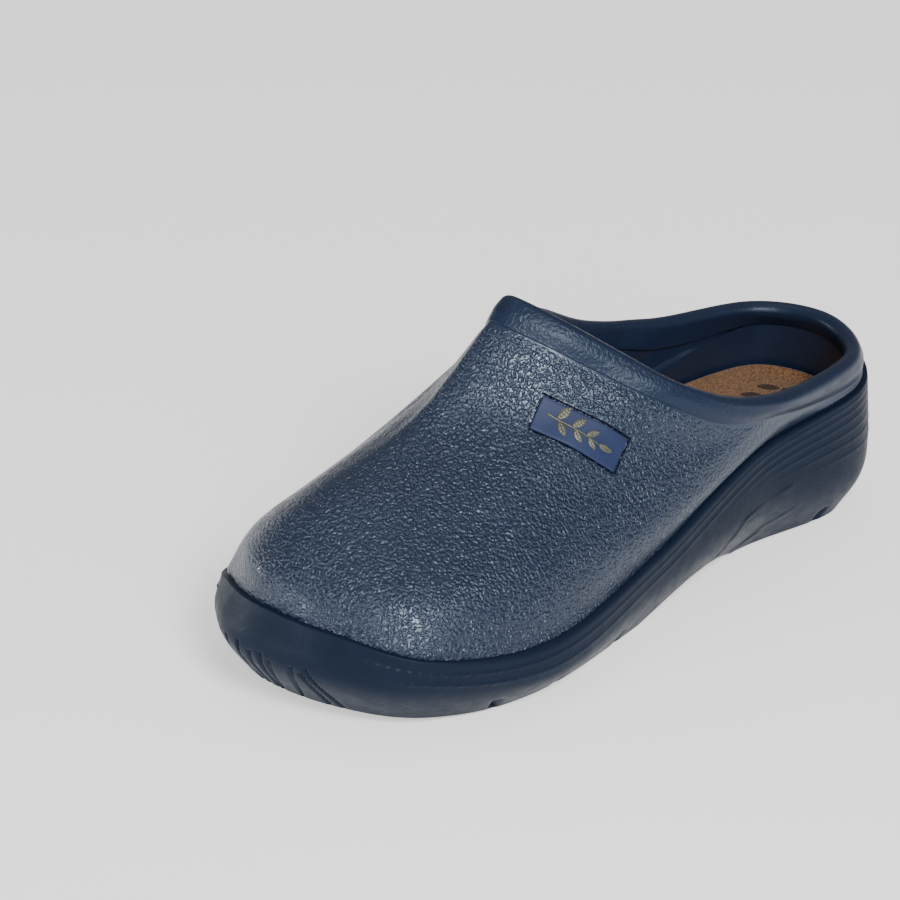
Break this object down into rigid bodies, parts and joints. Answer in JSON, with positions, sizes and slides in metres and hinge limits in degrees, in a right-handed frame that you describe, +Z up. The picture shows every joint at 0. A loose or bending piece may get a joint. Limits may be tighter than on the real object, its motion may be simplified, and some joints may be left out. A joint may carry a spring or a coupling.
{
  "type": "rubber garden clog",
  "caption": "Slip-on rubber garden clog for the left foot, with a closed toe, rolled collar, thick treaded sole, lift-out footbed and a small leaf badge.",
  "frame": {"origin": "on the ground under the middle of the clog's outline", "axes": "+X towards the toe, +Y towards the outer side of the left foot, +Z up"},
  "size_m": [0.2708, 0.1102, 0.1112],
  "materials": {
    "upper": "pebbled satin navy",
    "collar": "smooth satin navy",
    "sole": "fine matt navy",
    "tread": "matt navy",
    "footbed_base": "foamed, matt brown",
    "suede": "napped brown suede",
    "badge": "smooth satin blue",
    "emblem": "satin olive grey"
  },
  "bodies": {
    "clog": {"sole_unit": "sole", "outsole_forefoot": "tread", "outsole_heel": "tread", "upper": "upper", "collar_roll": "collar", "badge_plate": "badge", "badge_emblem": "emblem"},
    "footbed": {"footbed_base": "footbed_base", "footbed_cover": "suede"}
  },
  "joints": [
    {"name": "footbed_lift", "type": "hinge", "parent": "clog", "child": "footbed", "pos_m": [0.1222, -0.01, 0.0175], "axis": [0, 1, 0], "range_deg": [0, 3]}
  ]
}
